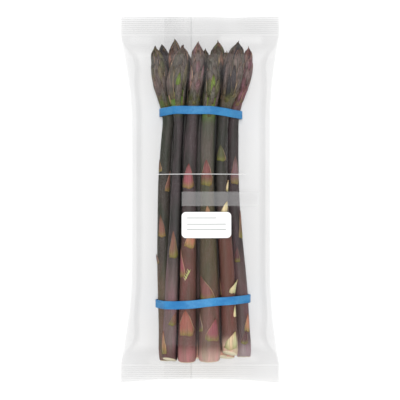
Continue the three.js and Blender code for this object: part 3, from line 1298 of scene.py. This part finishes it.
@dataclass
class Studio:
    """Camera, soft lights and a plain white floor."""

    lens: float = 100.0
    sensor: float = 36.0
    view_width: float = 300.0
    aim: tuple[float, float, float] = (0.0, 0.0, 20.0)
    dome: float = 0.6
    key: float = 1.0
    tilt: float = 4.5
    spread: float = 11.0

    def camera(self) -> None:
        """Sets the camera straight above the bag, with the tips at the top of the picture."""
        x, y, z = self.aim
        distance = self.view_width / self.sensor * self.lens
        deselect()
        bpy.ops.object.camera_add(location=(x * MM, y * MM, (z + distance) * MM))
        made = bpy.context.object
        made.rotation_euler = (0, 0, 0)
        made.data.lens = self.lens
        made.data.sensor_width = self.sensor
        bpy.context.scene.camera = made

    def light(self, tilt: float) -> None:
        """Adds a broad distant light from above.

        Args:
            tilt: how far it leans along the bag, in degrees.
        """
        bpy.ops.object.light_add(type="SUN", location=(0, 0, 1), rotation=(math.radians(tilt), 0, 0))
        made = bpy.context.object
        made.data.energy = self.key
        made.data.angle = math.radians(self.spread)

    def build(self) -> None:
        """Builds the floor, the sky, the lights and the camera."""
        deselect()
        bpy.ops.mesh.primitive_plane_add(size=6, location=(0, 0, -0.0006))
        floor = bpy.context.object
        floor.name = "floor"
        white, paper = start_material("white_floor")
        paper.surface({"Base Color": PRINT_WHITE, "Roughness": 0.9, "Specular IOR Level": 0.1})
        floor.data.materials.append(white)
        scene = bpy.context.scene
        scene.world = bpy.data.worlds.new("white_room")
        scene.world.use_nodes = True
        g = Graph(scene.world.node_tree)
        seen = g.add("LightPath").outputs["Is Camera Ray"]
        strength = g.span(seen, 0.0, 1.0, (self.dome, 1.0))
        sky = g.add("Background", {"Color": (1, 1, 1, 1), "Strength": strength})
        scene.world.node_tree.links.new(sky.outputs[0], g.add("OutputWorld").inputs[0])
        scene.view_settings.view_transform = "Standard"
        scene.cycles.transparent_max_bounces = 32
        for tilt in (-self.tilt, self.tilt):
            self.light(tilt)
        self.camera()


def sprig(turn: float, base: float, rise: float, sweep: float, count: int = 9) -> tuple[Leaf, ...]:
    """Lays out a tiny fern shoot as short needles on both sides of a line.

    Args:
        turn: where it starts round the spear, in degrees.
        base: where it starts along the spear, in millimetres.
        rise: how far it runs along the spear, in millimetres.
        sweep: how far it runs round the spear, in degrees.
        count: how many needles.

    Returns:
        The needles.
    """
    needles = []
    for k in range(count):
        share = k / (count - 1)
        side = 1 if k % 2 else -1
        needles.append(
            Leaf(
                turn=turn + sweep * share,
                base=base + rise * share,
                length=2.6,
                width=0.9,
                hue=LeafHue.CREAM if k == 0 else LeafHue.GREEN,
                lean=14 * side,
                lift=0.9,
                shade=0.8 + 0.4 * (k % 3) / 2,
                green=0.0,
                rim=0.1,
            )
        )
    return tuple(needles)


def front_spears() -> list[Spear]:
    """Sets out the six spears in front, with the leaves that show on them.

    Returns:
        The spears.
    """
    return [
        Spear(
            1,
            SpearFinish((112, 90, 78), (98, 82, 66), (60, 58, 50), (54, 55, 47), (92, 100, 50), 0.28),
            leaves=(
                Leaf(43, 7, 15, 5.5, LeafHue.BROWN, lean=25),
                Leaf(-13, -27, 16, 6, LeafHue.BROWN, lean=-16),
                Leaf(-73, 22, 8, 7, LeafHue.BROWN),
                Leaf(-76, -47, 6, 6, LeafHue.ROSE, lift=0.9),
                Leaf(30, -73, 9, 3, LeafHue.PINK),
            ),
            bud_hues=(LeafHue.DUSK, LeafHue.OLIVE, LeafHue.DUSK, LeafHue.TAUPE),
        ),
        Spear(
            2,
            SpearFinish((106, 72, 72), (116, 92, 94), (60, 54, 55), (52, 48, 48), (96, 122, 44)),
            leaves=(
                Leaf(0, -42, 19, 7, LeafHue.BROWN, lean=-12, rim=0.7),
                Leaf(14, -92, 9, 6, LeafHue.BROWN, lean=25),
                Leaf(-62, -113, 16, 8, LeafHue.ORANGE, lean=-9),
                Leaf(6, 79, 15, 4.5, LeafHue.MOSS, lift=0.8, rim=0.1, bud=True),
            ),
            cut_tilt=0.36,
            cut_turn=-28,
        ),
        Spear(
            3,
            SpearFinish((172, 118, 118), (102, 67, 60), (72, 60, 61), (62, 54, 55), (96, 90, 74), 0.4),
            leaves=(
                Leaf(-14, 10, 17, 10.5, LeafHue.PINK, lean=8, rim=0.35),
                Leaf(24, -34, 14, 11, LeafHue.ORANGE, rim=0.8),
                Leaf(-60, -56, 20, 8.5, LeafHue.PINK, lean=-12, rim=0.6),
                Leaf(-9, -98, 17, 15, LeafHue.CORAL, lean=-5, rim=1.0),
                *sprig(-19, -59, 6, 26),
            ),
            cut_tilt=-0.1,
            trim=1.4,
            bud_hues=(LeafHue.DUSK, LeafHue.ROSE, LeafHue.ROSE, LeafHue.TAUPE),
        ),
        Spear(
            4,
            SpearFinish((198, 164, 154), (110, 77, 69), (80, 71, 50), (80, 78, 68), (98, 122, 46), 0.24),
            leaves=(
                Leaf(-2, 12, 18, 11, LeafHue.RUSSET, lean=-4, rim=0.8, shade=0.85),
                Leaf(-10, -73, 17, 14, LeafHue.RUSSET, lean=-48, rim=0.7),
                Leaf(-72, -96, 13, 9, LeafHue.ROSE),
                Leaf(24, -102, 15, 13, LeafHue.PINK, lean=15, rim=0.6),
                Leaf(0, -10, 6, 4, LeafHue.ORANGE),
                Leaf(4, 76, 16, 4.5, LeafHue.MOSS, lift=0.9, rim=0.1, bud=True),
            ),
            cut_tilt=-0.08,
            trim=1.4,
            bud_hues=(LeafHue.DUSK, LeafHue.OLIVE, LeafHue.DUSK, LeafHue.TAUPE),
        ),
        Spear(
            5,
            SpearFinish((214, 180, 160), (102, 62, 53), (64, 55, 52), (52, 50, 46), (92, 86, 62), 0.42),
            leaves=(
                Leaf(5, 30, 11, 8, LeafHue.OLIVE, lean=-15),
                Leaf(17, -9, 8, 5.5, LeafHue.CREAM, lean=22, lift=1.2),
                Leaf(72, 7, 8, 5, LeafHue.CREAM, lift=1.0),
                Leaf(54, -68, 9, 9, LeafHue.CREAM, lean=30, lift=2.4, rim=0.2, green=0.3),
                Leaf(-72, -70, 13, 4, LeafHue.ORANGE),
                Leaf(6, -109, 12, 11, LeafHue.CREAM, lean=34, lift=0.9, rim=0.2, green=0.35, shade=0.85),
                Leaf(55, -86, 8, 3.5, LeafHue.CREAM, green=0.2),
            ),
            cut_tilt=0.42,
            cut_turn=-28,
            plump=0.08,
            bud_hues=(LeafHue.DUSK, LeafHue.TAUPE, LeafHue.INK, LeafHue.TAUPE),
        ),
        Spear(
            6,
            SpearFinish((166, 142, 150), (98, 74, 76), (62, 51, 53), (60, 51, 52), (116, 80, 82), 0.32),
            leaves=(
                Leaf(26, 13, 20, 8, LeafHue.ROSE, lean=-4, rim=0.6),
                Leaf(64, -28, 20, 6, LeafHue.BROWN, lean=8),
                Leaf(-15, -46, 11, 4.5, LeafHue.WINE, lean=12),
                Leaf(40, -98, 13, 5.5, LeafHue.ORANGE, lean=10),
                Leaf(5, -107, 10, 6, LeafHue.WINE, lean=20),
            ),
            cut_tilt=0.1,
            plump=0.08,
            bud_hues=(LeafHue.PLUM, LeafHue.PLUM, LeafHue.WINE, LeafHue.ROSE),
        ),
    ]


def inner_spears() -> list[Spear]:
    """Sets out the seven spears behind and below the front ones.

    Returns:
        The spears.
    """
    finish = SpearFinish((190, 150, 130), (84, 64, 60), (56, 50, 48), (57, 54, 51), (82, 84, 50))
    dull = (LeafHue.TAUPE, LeafHue.UMBER, LeafHue.INK)
    seen_buds = {
        7: (LeafHue.UMBER, LeafHue.TAUPE, LeafHue.BROWN),
        8: (LeafHue.OLIVE, LeafHue.TAUPE, LeafHue.BROWN),
        10: (LeafHue.INK,),
    }
    made = []
    for number in range(7, 14):
        hues = seen_buds.get(number, dull)
        made.append(Spear(number, finish, bud_turn=40 * number, cut_tilt=0.25, bud_hues=hues))
    return made


def main() -> None:
    """Builds the studio, the spears, the bands and the bag, in that order."""
    logging.basicConfig(level=logging.INFO, format="%(name)s %(message)s")
    Studio().build()
    patterns = {True: LeafPattern(4, 6), False: LeafPattern(6, 10)}
    spears = [*front_spears(), *inner_spears()]
    traces = [spear.trace for spear in spears]
    pieces = [spear.build(patterns, [t for t in traces if t is not spear.trace]) for spear in spears]
    for pattern in patterns.values():
        pattern.discard()
    rubber = RubberFinish().material()
    Band("band_lower", -76, 0.084, 0.0).build(traces, rubber)
    Band("band_upper", 66.5, -0.0448, 3.6).build(traces, rubber)
    FilmBag().build(traces, FilmFinish().material(), [piece.name for piece in pieces])


if __name__ == "__main__":
    main()
